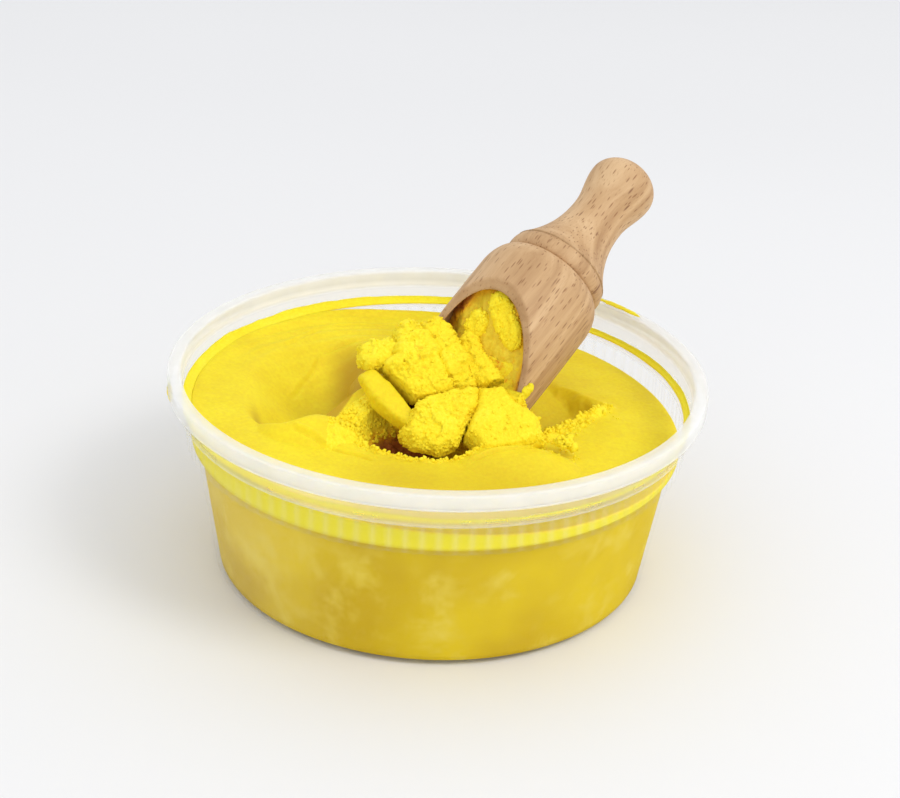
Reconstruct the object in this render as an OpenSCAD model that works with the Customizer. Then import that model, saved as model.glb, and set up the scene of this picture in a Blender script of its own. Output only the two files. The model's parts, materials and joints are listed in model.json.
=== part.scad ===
// Open tub of soft detailing clay with a small turned wooden scoop standing in it.
// The origin is the centre of the tub's flat base, and +Z points up out of the tub.
// The scoop is drawn in its own frame: its axis is +Z towards the handle, the groove
// behind the bowl is at 0, and the mouth opens towards -X. place_scoop() leans it.

/* [Tub] */
// Outside diameter of the rim, which a snap lid grips
rim_d = 117.4; // [116:0.1:119]
// Height of the tub
tub_h = 45.7; // [45:0.1:47]
// Diameter of the flat base
base_d = 94.6; // [93:0.1:96]
// Thickness of the wall
wall = 0.8; // [0.6:0.05:1]
// Height of the skirt that hangs from the rim
skirt_h = 3.5; // [3:0.1:4]
// Height at which the ribbed band starts
band_z = 30.2; // [29:0.1:31]
// Height of the ribbed band
band_h = 7; // [6:0.1:7.5]
// Number of ribs around the band
ribs = 104; // [60:1:120]
// Depth of a rib
rib_depth = 0.35; // [0.2:0.05:0.5]

/* [Clay] */
// Height of the clay's surface above the base, in the middle
clay_z = 34.6; // [34:0.1:35]
// Slope of the clay's surface, which falls to the right, degrees
clay_fall = 2.8; // [1:0.1:3]
// Radius of the trough that was scooped out
hollow_r = 12; // [8:0.5:13]
// Radius of the smaller cut beside the scoop
cut_r = 7; // [5:0.5:8]
// Width of the gap left around whatever moves with the scoop
pocket_gap = 0.4; // [0.3:0.05:0.8]

/* [Scoop] */
// Largest radius of the bowl
bowl_r = 14.5; // [14:0.1:15]
// Radius of the bowl at its open end
bowl_end_r = 13.5; // [13.2:0.1:14]
// Length of the bowl from the groove to the tip of its tongue
bowl_l = 50; // [46:0.5:51]
// Radius of the bore
bore_r = 12.8; // [12:0.1:12.9]
// Radius of the groove between bowl and collar
groove_r = 11.3; // [10.8:0.1:11.8]
// Radius of the collar
collar_r = 12.3; // [12:0.1:12.8]
// Length of the collar
collar_l = 4.2; // [3.5:0.1:5]
// Radius of the handle at its waist
waist_r = 6.5; // [5.5:0.1:7]
// Radius of the knob at the end of the handle
knob_r = 8.1; // [7.5:0.1:8.6]
// Distance from the groove to the end of the handle
handle_l = 36.8; // [35:0.1:40]
// Slant of the cut that makes the mouth, degrees
mouth_slant = 55; // [50:1:57]
// Height of the handle's axis above level, degrees
scoop_rise = 30.5; // [29:0.5:32]
// Direction that the handle points, anticlockwise from +X, degrees
scoop_heading = 51.4; // [50:0.1:53]
// Roll of the mouth about the scoop's axis, degrees
scoop_roll = 3.4; // [2:0.1:5]

/* [Hidden] */

clay_yellow = [0.96, 0.86, 0.16];
plastic_white = [0.93, 0.93, 0.9, 0.5];
beech = [0.84, 0.68, 0.5];

far = 200;                    // longer than any piece, for cutting planes
touch = 0.05;                 // gap between pieces that lie against each other
rim_r = rim_d / 2;
base_r = base_d / 2;
band_top = band_z + band_h;
skirt_z = tub_h - skirt_h;
low_wall_r = 53;              // outside radius just under the ribbed band
band_r = 54.6;                // outside radius of the band between its ribs
neck_r = 56.2;                // outside radius just above the band
neck_top_r = 56.5;            // outside radius under the rim
base_corner = 1.5;
rim_round = 0.5;
ledge_drop = 0.6;             // thickness of each step in the wall

groove_at = [23.9, 22, 58.2]; // place of the scoop's groove in the tub
mouth_apex = -12.9;           // height of the mouth's upper edge in the scoop's frame
bore_top = -7;                // where the bore ends, towards the handle
pack_inset = 4;               // depth of the packed clay's face inside the mouth
shoulder_l = 6.8;             // length of the bowl's rounded shoulder
bulge_z = -10.4;              // where the bowl is widest
waist_z = 20.6;
knob_z = 30.6;
heap_slope = 32;              // slope of the heap of clay in front of the mouth, degrees
heap_foot = [0, -21, 35];     // where the heap's face rises from the clay in the tub

// Cracks that split the heap into its pieces. Each is a line across the heap's face: a
// point on it, from the foot of the heap, and the line's turn in degrees.
split_crack = [0, 15.2, 0];   // above it are the pieces that leave with the scoop
smooth_crack = [-9, 18, -46]; // between the smooth slab and the left slab
chip_crack = [0, 22, 0];      // below the chip
chip_side_crack = [-9, 26, -90];
middle_crack = [-0.8, 25, -65];
right_crack = [5, 25, -67];
front_crack = [7.3, 12, 75];  // between the two lumps in front
under_crack = [-4, 11.5, 54]; // between the front left lump and the smooth slab

// ---- shared helpers ----

module place_scoop() {
    translate(groove_at)
        rotate([0, 90 - scoop_rise, scoop_heading])
            rotate([0, 0, scoop_roll])
                children();
}

// The mouth's own frame within the scoop's: X runs from the mouth's upper edge towards
// the tongue, and Z points into the bowl.
module on_mouth() {
    translate([-bowl_r, 0, mouth_apex])
        rotate([0, mouth_slant, 0])
            children();
}

// Everything outside the mouth of the scoop; out moves the plane away from the bowl.
module before_mouth(out = 0) {
    on_mouth()
        translate([-far / 2, -far / 2, -far - out])
            cube(far);
}

// Space that the bowl and its contents pass through as the scoop is drawn out.
module scoop_path(gap) {
    place_scoop()
        difference() {
            translate([0, 0, -bowl_l - gap])
                cylinder(r = bowl_r + gap, h = far, $fn = 96);
            before_mouth(gap);
        }
}

// Blocky piece of clay with rounded, uneven corners, centred on the origin.
module chunk(size, round_r, seed) {
    jitter = rands(-0.12, 0.12, 24, seed);
    hull()
        for (i = [0 : 7])
            translate([for (axis = [0 : 2])
                ((floor(i / pow(2, axis)) % 2 - 0.5) * (1 + jitter[3 * i + axis]))
                    * (size[axis] - 2 * round_r)])
                sphere(r = round_r, $fn = 10);
}

// Height of the sloping surface of the clay at x.
function clay_top(x) = clay_z - x * tan(clay_fall);

module above_clay(gap) {
    translate([0, 0, clay_z + gap])
        rotate([0, clay_fall, 0])
            translate([-far / 2, -far / 2, 0])
                cube(far);
}

// The heap's own frame: X to the right, Y up its sloping face and Z out of the face.
module on_heap() {
    translate(heap_foot)
        rotate([heap_slope, 0, 0])
            children();
}

// Everything beyond a crack in the heap, from half a gap short of the crack itself.
module beyond(crack) {
    on_heap()
        translate([crack[0], crack[1], 0])
            rotate([0, 0, crack[2]])
                translate([-far / 2, -pocket_gap / 2, -far / 2])
                    cube(far);
}

function other_side(crack) = crack + [0, 0, 180];

module crumbs(places, seed) {
    sizes = rands(0.8, 1.5, len(places), seed);
    for (i = [0 : len(places) - 1])
        translate([places[i][0], places[i][1], clay_top(places[i][0]) + sizes[i] + touch])
            sphere(r = sizes[i], $fn = 24);
}

// ---- tub ----

module rib_ring() {
    step = 360 / ribs;
    translate([0, 0, band_z])
        linear_extrude(band_h)
            difference() {
                polygon([for (i = [0 : 2 * ribs - 1])
                    let (r = band_r + (i % 2) * rib_depth, a = i * step / 2)
                        [r * cos(a), r * sin(a)]]);
                circle(r = band_r - wall / 2, $fn = 180);
            }
}

module tub_shell() {
    rotate_extrude($fn = 180)
        polygon(concat(
            [[0, 0]],
            [for (a = [0 : 15 : 90])
                [base_r + base_corner * sin(a), base_corner * (1 - cos(a))]],
            [[low_wall_r, band_z], [band_r, band_z], [band_r, band_top],
             [neck_r, band_top], [neck_top_r, skirt_z], [neck_top_r, tub_h - wall],
             [rim_r - wall, tub_h - wall], [rim_r - wall, skirt_z], [rim_r, skirt_z]],
            [for (a = [0 : 30 : 90])
                [rim_r - rim_round * (1 - cos(a)), tub_h - rim_round * (1 - sin(a))]],
            [[neck_top_r - wall, tub_h], [neck_r - wall, band_top + ledge_drop],
             [band_r - wall, band_top + ledge_drop], [band_r - wall, band_z + ledge_drop],
             [low_wall_r - wall, band_z + ledge_drop], [base_r + base_corner - wall, wall],
             [0, wall]]));
}

module tub() {
    color(plastic_white)
        union() {
            tub_shell();
            rib_ring();
        }
}

// ---- clay that stays in the tub ----

module clay_fill() {
    rotate_extrude($fn = 180)
        polygon([[0, wall + touch], [base_r + base_corner - wall - touch, wall + touch],
                 [low_wall_r - wall - touch, band_z + ledge_drop + touch],
                 [band_r - wall - touch, band_z + ledge_drop + touch],
                 [band_r - wall - touch, band_top], [0, band_top]]);
}

// Round-ended trough lying along a line, with its lowest point depth below the clay.
module trough(from, to, r, depth) {
    run = to - from;
    translate([from[0], from[1], clay_z - depth + r])
        rotate([0, 90, atan2(run[1], run[0])])
            rotate_extrude($fn = 64)
                polygon(concat(
                    [for (a = [-90 : 10 : 0]) [r * cos(a), r * sin(a)]],
                    [for (a = [0 : 10 : 90]) [r * cos(a), norm(run) + r * sin(a)]]));
}

module clay_mass() {
    color(clay_yellow)
        difference() {
            clay_fill();
            trough([-22, 26], [-3, -17], hollow_r, 8);
            trough([29, -2], [36, 12], cut_r, 4.5);
            above_clay(0);
            scoop_path(pocket_gap);
        }
}

module ledge_residue() {
    ring_w = 1.3;
    ring_h = 0.7;
    color(clay_yellow)
        rotate_extrude($fn = 180)
            translate([neck_r - wall - touch - ring_w, band_top + ledge_drop + touch])
                square([ring_w, ring_h]);
}

// Smear of clay on the rim: part of a ring between two radii and two heights.
module rim_smear(heading, span, radii, heights) {
    color(clay_yellow)
        rotate([0, 0, heading - span / 2])
            rotate_extrude(angle = span, $fn = 180)
                translate([radii[0], heights[0]])
                    square([radii[1] - radii[0], heights[1] - heights[0]]);
}

module rim_smear_left() {
    hang = 0.7;
    smear_w = 0.6;
    rim_smear(191, 8, [rim_r - rim_round - smear_w, rim_r - rim_round],
              [skirt_z - hang, skirt_z - touch]);
}

module rim_smear_back() {
    smear_t = 0.4;
    rim_smear(43, 14, [neck_r + 0.4, rim_r - rim_round], [tub_h + touch, tub_h + smear_t]);
}

// Lump of the broken heap that stays in the tub, cut off beyond each of the cracks.
module heap_lump(at, size, turn, seed, cracks) {
    color(clay_yellow)
        difference() {
            intersection() {
                on_heap()
                    translate(at)
                        rotate(turn)
                            chunk(size, 2, seed);
                above_clay(touch);
            }
            for (crack = cracks)
                beyond(crack);
            scoop_path(pocket_gap);
        }
}

module lump_front_left() {
    heap_lump([1.2, 9.6, -3.2], [14.8, 15.5, 9], [0, 0, 12], 3,
              [split_crack, other_side(front_crack), under_crack]);
}

module lump_front_right() {
    heap_lump([15.2, 8.6, -3], [14.5, 13, 8], [-8, 0, -10], 7,
              [split_crack, front_crack]);
}

module smooth_slab() {
    heap_lump([-10.8, 15.6, -3.6], [7, 14, 5.5], [0, -8, 40], 11,
              [smooth_crack, chip_crack, other_side(under_crack)]);
}

module clay_ball() {
    ball_r = 1.8;
    color(clay_yellow)
        translate([27.6, -15, clay_top(27.6) + ball_r + touch])
            sphere(r = ball_r, $fn = 32);
}

module crumbs_hollow() {
    color(clay_yellow)
        crumbs([for (i = [0 : 7]) [-19 + 3.1 * i, -25.6 - 4.5 * sin(i * 180 / 7)]], 5);
}

module crumbs_cut() {
    color(clay_yellow)
        crumbs([for (i = [0 : 5]) [25 + 0.7 * i, -9 + 3.2 * i]], 9);
}

// ---- scoop ----

// Radius of the handle behind the collar at height z.
function neck_radius(z) =
    waist_r + (collar_r - 0.4 - waist_r) * pow(1 - (z - collar_l) / (waist_z - collar_l), 2.2);

function knob_radius(z) =
    waist_r + (knob_r - waist_r) * (0.5 - 0.5 * cos(180 * (z - waist_z) / (knob_z - waist_z)));

function bowl_radius(z) =
    bowl_r - (bowl_r - bowl_end_r) * pow((z - bulge_z) / (-bowl_l - bulge_z), 2);

module turned_blank() {
    rotate_extrude($fn = 96)
        polygon(concat(
            [[0, -bowl_l], [bowl_end_r, -bowl_l]],
            [for (z = [-44 : 6 : -14]) [bowl_radius(z), z]],
            [for (a = [90 : -10 : 0])
                [groove_r + (bowl_r - groove_r) * sin(a), -shoulder_l * cos(a)]],
            [for (a = [20 : 20 : 160])
                [groove_r + (collar_r - groove_r) * sin(a), collar_l / 2 * (1 - cos(a))]],
            [for (i = [0 : 9])
                let (z = collar_l + i / 9 * (waist_z - collar_l)) [neck_radius(z), z]],
            [for (i = [1 : 7])
                let (z = waist_z + i / 7 * (knob_z - waist_z)) [knob_radius(z), z]],
            [for (a = [10 : 10 : 90])
                [knob_r * cos(a), knob_z + (handle_l - knob_z) * sin(a)]]));
}

module scoop() {
    color(beech)
        place_scoop()
            difference() {
                turned_blank();
                translate([0, 0, -far])
                    cylinder(r = bore_r, h = far + bore_top, $fn = 96);
                before_mouth();
            }
}

// ---- clay that comes out with the scoop ----

// Space inside the bowl that packed clay can fill.
module bowl_space() {
    translate([0, 0, -bowl_l])
        cylinder(r = bore_r - touch, h = bowl_l + bore_top - touch, $fn = 96);
}

module scoop_clay_pack() {
    color(clay_yellow)
        place_scoop()
            difference() {
                bowl_space();
                before_mouth(-pack_inset);
            }
}

// Broken clay between the pack and the mouth, in the lower half of the bowl.
module scoop_clay_load() {
    color(clay_yellow)
        place_scoop()
            difference() {
                intersection() {
                    bowl_space();
                    before_mouth(-pack_inset + touch);
                    translate([-3, -far / 2, -far / 2])
                        cube(far);
                }
                before_mouth(touch);
            }
}

// Piece of the heap that stands in front of the mouth and clings to the scoop.
module loaded_slab(at, size, turn, seed, cracks) {
    color(clay_yellow)
        difference() {
            intersection() {
                on_heap()
                    translate(at)
                        rotate(turn)
                            chunk(size, 1.2, seed);
                place_scoop()
                    before_mouth(2 * touch);
            }
            for (crack = cracks)
                beyond(crack);
        }
}

module slab_left() {
    loaded_slab([-5.2, 23.8, -2], [12.5, 19.5, 6], [0, 4, 14], 21,
                [other_side(split_crack), other_side(smooth_crack),
                 other_side(chip_side_crack), middle_crack]);
}

module slab_middle() {
    loaded_slab([2.8, 26.6, -2.6], [5.4, 17.5, 6], [4, 0, 26], 22,
                [other_side(split_crack), other_side(middle_crack), right_crack]);
}

module slab_right() {
    loaded_slab([9, 24.6, -1.2], [5.6, 15, 7], [4, 0, 24], 23,
                [other_side(split_crack), other_side(right_crack)]);
}

module chip_left() {
    loaded_slab([-13.4, 25.8, -2], [7.5, 7, 5], [0, 8, 8], 24,
                [other_side(chip_crack), chip_side_crack]);
}

// Piece that stands in the upper half of the mouth, against the packed clay.
module mouth_piece(at, size, turn, seed) {
    color(clay_yellow)
        place_scoop()
            difference() {
                intersection() {
                    on_mouth()
                        translate(at)
                            rotate(turn)
                                chunk(size, 0.9, seed);
                    cylinder(r = bore_r - touch, h = 2 * far, center = true, $fn = 96);
                    before_mouth(-pack_inset + touch);
                }
                translate([-3 - touch, -far / 2, -far / 2])
                    cube(far);
                before_mouth(touch);
            }
}

module scoop_flake() {
    mouth_piece([8.4, -3.4, 2.2], [12.5, 5, 3.4], [0, 0, -42], 31);
}

module scoop_knob() {
    mouth_piece([11.4, 3.8, 2.2], [5, 4.6, 3.4], [0, 0, 20], 32);
}

module scoop_smear() {
    smear_t = 0.5;
    smear_z = [-31, -27];
    color(clay_yellow)
        place_scoop()
            rotate([0, 0, -101])
                rotate_extrude(angle = 9, $fn = 96)
                    translate([bowl_radius(-27) + touch, smear_z[0]])
                        square([smear_t, smear_z[1] - smear_z[0]]);
}

tub();
clay_mass();
ledge_residue();
rim_smear_left();
rim_smear_back();
lump_front_left();
lump_front_right();
smooth_slab();
clay_ball();
crumbs_hollow();
crumbs_cut();
scoop();
scoop_clay_pack();
scoop_clay_load();
slab_left();
slab_middle();
slab_right();
chip_left();
scoop_flake();
scoop_knob();
scoop_smear();
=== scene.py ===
"""Looks of an open tub of soft detailing clay with a turned beech scoop standing in it.

Lengths in this script are millimetres in the frame of the CAD part, whose origin is the
centre of the tub's flat base. Meshes are turned into metres as they are made.
"""
import json
import math

import bpy
import numpy as np
from mathutils import Matrix, Vector


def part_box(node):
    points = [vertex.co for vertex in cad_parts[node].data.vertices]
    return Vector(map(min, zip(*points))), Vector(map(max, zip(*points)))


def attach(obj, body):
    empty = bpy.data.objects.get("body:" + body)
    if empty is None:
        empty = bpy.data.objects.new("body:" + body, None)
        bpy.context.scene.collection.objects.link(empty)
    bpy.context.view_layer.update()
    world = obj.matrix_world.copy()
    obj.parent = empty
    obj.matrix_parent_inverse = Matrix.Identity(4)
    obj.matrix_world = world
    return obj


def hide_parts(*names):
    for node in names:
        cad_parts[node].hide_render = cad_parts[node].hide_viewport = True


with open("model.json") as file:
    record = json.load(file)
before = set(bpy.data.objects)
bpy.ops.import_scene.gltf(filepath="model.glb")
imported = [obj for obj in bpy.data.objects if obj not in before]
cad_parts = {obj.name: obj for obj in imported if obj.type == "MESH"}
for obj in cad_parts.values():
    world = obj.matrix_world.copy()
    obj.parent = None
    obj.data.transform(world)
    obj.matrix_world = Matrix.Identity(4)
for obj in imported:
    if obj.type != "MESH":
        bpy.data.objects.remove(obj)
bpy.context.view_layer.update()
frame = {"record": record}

MM = 0.001
TAU = 2 * math.pi

# ---- sizes read from the frame ----

tub_low, tub_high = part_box("tub")
RIM_R = (tub_high.x - tub_low.x) / 2 / MM
TUB_H = tub_high.z / MM
clay_low, clay_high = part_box("clay_mass")
CLAY_R = (clay_high.x - clay_low.x) / 2 / MM
CLAY_Z = 34.6
CLAY_FALL = (clay_high.z / MM - CLAY_Z) / CLAY_R
CLAY_FLOOR = clay_low.z / MM

# ---- sizes shared with the CAD part ----

WALL = 0.8
BASE_R = 47.3
BASE_CORNER = 1.5
LOW_WALL_R = 53.0
BAND_Z = 30.2
BAND_TOP = 37.2
BAND_R = 54.6
RIBS = 104
RIB_DEPTH = 0.35
NECK_R = 56.2
NECK_TOP_R = 56.5
SKIRT_Z = 42.2
LEDGE_DROP = 0.6

BOWL_R = 14.5
BOWL_END_R = 13.5
BOWL_L = 50.0
BORE_R = 12.8
BORE_TOP = -7.0
GROOVE_R = 11.3
COLLAR_R = 12.3
COLLAR_L = 4.2
WAIST_R = 6.5
WAIST_Z = 20.6
KNOB_R = 8.1
KNOB_Z = 30.6
HANDLE_L = 36.8
SHOULDER_L = 6.8
BULGE_Z = -10.4
MOUTH_APEX = -12.9
MOUTH_SLANT = math.radians(55)
PACK_INSET = 4.0
SCOOP_AT = Vector((23.9, 22.0, 58.2))
SCOOP_TURN = (Matrix.Rotation(math.radians(51.4), 3, "Z")
              @ Matrix.Rotation(math.radians(90 - 30.5), 3, "Y")
              @ Matrix.Rotation(math.radians(3.4), 3, "Z"))
PATH_GAP = 0.4

HEAP_FOOT = (0.0, -21.0, 35.0)
HEAP_SLOPE = math.radians(32)
HEAP_SPLIT = 15.2

# ---- sizes of the looks alone ----

FINE_STEP = 0.2
PACK_RELIEF = 1.2


# ---- small numeric helpers ----

def smooth(low, high, x):
    t = np.clip((x - low) / (high - low), 0, 1)
    return t * t * (3 - 2 * t)


def mix(a, b, t):
    return a + (b - a) * t


def lattice(cell, seed):
    """Pseudo-random number from 0 to 1 for each integer cell."""
    mask = np.uint64(0xFFFFFFFF)
    h = np.full(cell.shape[:-1], seed * 2654435761 % 4294967296, dtype=np.uint64)
    for axis, prime in enumerate((73856093, 19349663, 83492791)):
        h ^= (cell[..., axis].astype(np.int64) + 32768).astype(np.uint64) * np.uint64(prime)
        h = (h & mask) * np.uint64(2246822519) & mask
        h ^= h >> np.uint64(15)
    h = h * np.uint64(3266489917) & mask
    h ^= h >> np.uint64(16)
    return h.astype(np.float64) / 4294967295.0


def value_noise(points, size, seed):
    """Smooth noise from -1 to 1 with features about size across."""
    p = points / size
    cell = np.floor(p)
    f = p - cell
    f = f * f * (3 - 2 * f)
    total = 0
    for corner in range(8):
        step = np.array([corner & 1, corner >> 1 & 1, corner >> 2 & 1])
        weight = np.prod(np.where(step, f, 1 - f), axis=-1)
        total = total + weight * lattice(cell + step, seed)
    return 2 * total - 1


def fbm(points, size, octaves, seed):
    total = 0
    for octave in range(octaves):
        total = total + value_noise(points, size / 2 ** octave, seed + octave) / 2 ** octave
    return total / (2 - 2 / 2 ** octaves)


def nearest_grain(points, size, seed):
    """Squared distance to the nearest of a field of scattered spots, and that spot's cell."""
    p = points / size
    cell = np.floor(p)
    nearest = np.full(p.shape[:-1], 9.0)
    owner = cell
    for step in np.ndindex(3, 3, 3):
        other = cell + np.array(step) - 1
        spot = np.stack([lattice(other, seed + 7 * axis) for axis in range(3)], -1)
        away = np.sum((other + spot - p) ** 2, axis=-1)
        owner = np.where((away < nearest)[..., None], other, owner)
        nearest = np.minimum(nearest, away)
    return nearest, owner


def grains(points, size, seed):
    """Packed round grains: 1 at the middle of a grain and 0 in the creases between."""
    return 1 - np.clip(nearest_grain(points, size, seed)[0], 0, 1)


def chunks(points, size, seed):
    """Steps from -1 to 1 between chunks with broken edges."""
    wander = np.stack([fbm(points, size / 2, 3, seed + 50 + axis) for axis in range(3)], -1)
    owner = nearest_grain(points + 0.45 * size * wander, size, seed)[1]
    return 2 * lattice(owner, seed + 99) - 1


def creases(points, size, seed):
    """1 along the middle of thin wandering cracks and 0 away from them."""
    return smooth(0.09, 0.0, np.abs(fbm(points, size, 2, seed)))


def flat(x, y):
    return np.stack([x, y, 0 * x], -1)


def polar(r, angle, z):
    """Points at radius r and the angle about the z axis, at height z."""
    return np.stack([r * np.cos(angle), r * np.sin(angle), z + 0 * angle], -1)


def to_world(local):
    """Points in the scoop's own frame, put in the tub's frame."""
    turn = np.array(SCOOP_TURN)
    return local @ turn.T + np.array(SCOOP_AT)


def to_scoop(points):
    turn = np.array(SCOOP_TURN)
    return (points - np.array(SCOOP_AT)) @ turn


def heap_point(x, v, out):
    """Point x to the right, v up the heap's sloping face and out in front of the face."""
    y = HEAP_FOOT[1] + v * math.cos(HEAP_SLOPE) - out * math.sin(HEAP_SLOPE)
    z = HEAP_FOOT[2] + v * math.sin(HEAP_SLOPE) + out * math.cos(HEAP_SLOPE)
    return np.stack([x + 0 * y, y, z], -1)


def heap_coordinates(points):
    away = points - np.array(HEAP_FOOT)
    c, s = math.cos(HEAP_SLOPE), math.sin(HEAP_SLOPE)
    return away[..., 0], away[..., 1] * c + away[..., 2] * s, away[..., 2] * c - away[..., 1] * s


# ---- mesh helpers ----

def new_object(name, points, faces, materials):
    mesh = bpy.data.meshes.new(name)
    mesh.from_pydata((np.asarray(points) * MM).tolist(), [], faces)
    for material in materials:
        mesh.materials.append(material)
    mesh.polygons.foreach_set("use_smooth", [True] * len(mesh.polygons))
    mesh.validate()
    mesh.update()
    obj = bpy.data.objects.new(name, mesh)
    bpy.context.scene.collection.objects.link(obj)
    return obj


def turned_faces(rings, columns, offset=0):
    """Faces between closed rings of points, each ring with the same number of columns."""
    faces = []
    for i in range(rings - 1):
        a = offset + i * columns
        b = a + columns
        faces += [(a + j, a + (j + 1) % columns, b + (j + 1) % columns, b + j)
                  for j in range(columns)]
    return faces


def capped_rings(name, rings, materials, closed=False):
    """Solid from an array of rings (n, columns, 3), capped with a fan at both ends, or
    closed by joining the last ring to the first."""
    count, columns = rings.shape[:2]
    points = rings.reshape(-1, 3)
    faces = turned_faces(count, columns)
    if closed:
        last = (count - 1) * columns
        faces += [(last + j, last + (j + 1) % columns, (j + 1) % columns, j)
                  for j in range(columns)]
    else:
        first, last = len(points), len(points) + 1
        points = np.concatenate([points, rings[0].mean(0)[None], rings[-1].mean(0)[None]])
        end = (count - 1) * columns
        faces += [((j + 1) % columns, j, first) for j in range(columns)]
        faces += [(end + j, end + (j + 1) % columns, last) for j in range(columns)]
    return new_object(name, points, faces, materials)


def grid_solid(name, top, bottom, materials):
    """Closed solid between two grids of points (m, n, 3) that share their outlines."""
    m, n = top.shape[:2]
    points = np.concatenate([top.reshape(-1, 3), bottom.reshape(-1, 3)])
    size = m * n
    faces = []
    for i in range(m - 1):
        for j in range(n - 1):
            a = i * n + j
            faces.append((a, a + n, a + n + 1, a + 1))
            faces.append((size + a, size + a + 1, size + a + n + 1, size + a + n))
    edge = ([(0, j) for j in range(n - 1)] + [(i, n - 1) for i in range(m - 1)]
            + [(m - 1, j) for j in range(n - 1, 0, -1)] + [(i, 0) for i in range(m - 1, 0, -1)])
    for k, (i, j) in enumerate(edge):
        i2, j2 = edge[(k + 1) % len(edge)]
        a, b = i * n + j, i2 * n + j2
        faces.append((a, b, size + b, size + a))
    return new_object(name, points, faces, materials)


def read_vectors(obj, name):
    vectors = np.empty(len(obj.data.vertices) * 3)
    obj.data.vertices.foreach_get(name, vectors)
    return vectors.reshape(-1, 3)


def set_attribute(obj, name, values, kind="FLOAT"):
    attribute = obj.data.attributes.new(name, kind, "POINT")
    attribute.data.foreach_set("vector" if kind == "FLOAT_VECTOR" else "value", values)


def apply_modifiers(obj):
    graph = bpy.context.evaluated_depsgraph_get()
    mesh = bpy.data.meshes.new_from_object(obj.evaluated_get(graph))
    old = obj.data
    obj.modifiers.clear()
    obj.data = mesh
    bpy.data.meshes.remove(old)
    mesh.polygons.foreach_set("use_smooth", [True] * len(mesh.polygons))


# ---- materials ----

class Look:
    """A material in the making. Its nodes take constants or the outputs of other nodes."""

    def __init__(self, name, coordinates="Object"):
        self.material = bpy.data.materials.new(name)
        self.material.use_nodes = True
        self.tree = self.material.node_tree
        self.where = self.add("TexCoord", coordinates, {})

    def feed(self, socket, value):
        if isinstance(value, bpy.types.NodeSocket):
            self.tree.links.new(value, socket)
        else:
            socket.default_value = value

    def add(self, kind, output, inputs, **settings):
        node = self.tree.nodes.new("ShaderNode" + kind)
        for key, value in settings.items():
            setattr(node, key, value)
        for key, value in inputs.items():
            self.feed(node.inputs[key], value)
        return node.outputs[output]

    def attribute(self, name, output="Fac"):
        return self.add("Attribute", output, {}, attribute_name=name)

    def height(self):
        return self.add("SeparateXYZ", "Z", {0: self.where})

    def stretched(self, where, scale):
        return self.add("Mapping", "Vector", {"Vector": where, "Scale": scale})

    def noise(self, where, scale, detail, roughness=0.5):
        inputs = {"Vector": where, "Scale": scale, "Detail": detail, "Roughness": roughness}
        return self.add("TexNoise", "Fac", inputs)

    def cells(self, where, scale):
        """Distance to the nearest of a field of scattered spots."""
        return self.add("TexVoronoi", "Distance", {"Vector": where, "Scale": scale})

    def times(self, source, factor, plus=0.0):
        inputs = {0: source, 1: factor, 2: plus}
        return self.add("Math", 0, inputs, operation="MULTIPLY_ADD")

    def ranged(self, source, low, high, to_low=0.0, to_high=1.0):
        """The stretch from low to high of the source, spread over to_low to to_high."""
        inputs = {"Value": source, "From Min": low, "From Max": high,
                  "To Min": to_low, "To Max": to_high}
        return self.add("MapRange", "Result", inputs)

    def ramp(self, source, *stops):
        node = self.tree.nodes.new("ShaderNodeValToRGB")
        elements = node.color_ramp.elements
        for element, (position, colour) in zip(list(elements), (stops[0], stops[-1])):
            element.position = position
            element.color = (*colour, 1)
        for position, colour in stops[1:-1]:
            elements.new(position).color = (*colour, 1)
        self.feed(node.inputs["Fac"], source)
        return node.outputs["Color"]

    def mixed(self, amount, colour, other):
        inputs = {"Factor": amount, "A": colour, "B": (*other, 1)}
        return self.add("Mix", "Result", inputs, data_type="RGBA")

    def bump(self, height, strength, distance):
        inputs = {"Height": height, "Strength": strength, "Distance": distance}
        return self.add("Bump", "Normal", inputs)

    def finish(self, **inputs):
        """Feeds the shader's sockets, whose names have spaces for underscores."""
        shader = self.tree.nodes["Principled BSDF"]
        for key, value in inputs.items():
            self.feed(shader.inputs[key.replace("_", " ")], value)
        return self.material


# Painted shade on the clay, read from attributes of the mesh: colour, attribute, and where the
# colour starts and is full.
SHADOWED, CREASE_SHADE, DEEP_SHADE = (0.50, 0.30, 0.008), (0.88, 0.46, 0.010), (0.38, 0.115, 0.018)
SHADE_LAYERS = [(SHADOWED, "shade", 0.0, 1.0), (CREASE_SHADE, "pit_shade", 0.0, 0.6), (DEEP_SHADE, "pit_shade", 0.55, 1.0)]


def clay_material(name, colours, grain, bump, roughness=(0.55, 0.75), glow=0.3):
    """Clay whose colour drifts between three tones, darkened by painted shade from attributes of
    its mesh. Grain is the size of its texture, mm.
    """
    look = Look(name)
    fine = look.noise(look.where, 1000.0 / grain, 5.0, 0.65)
    broad = look.times(look.noise(look.where, 90.0, 3.0, 0.6), 0.45)
    tone = look.ramp(look.times(fine, 0.55, broad), *zip((0.36, 0.5, 0.62), colours))
    for dark, attribute, start, stop in SHADE_LAYERS:
        tone = look.mixed(look.ranged(look.attribute(attribute), start, stop), tone, dark)
    relief = look.times(look.cells(look.where, 1000.0 / (1.3 * grain)), -0.6, fine)
    return look.finish(
        Base_Color=tone, Roughness=look.ranged(fine, 0.0, 1.0, *roughness),
        Normal=look.bump(relief, bump, grain * MM), Subsurface_Weight=glow,
        Subsurface_Radius=(1.0, 0.55, 0.06), Subsurface_Scale=0.0022, Specular_IOR_Level=0.3)


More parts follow.
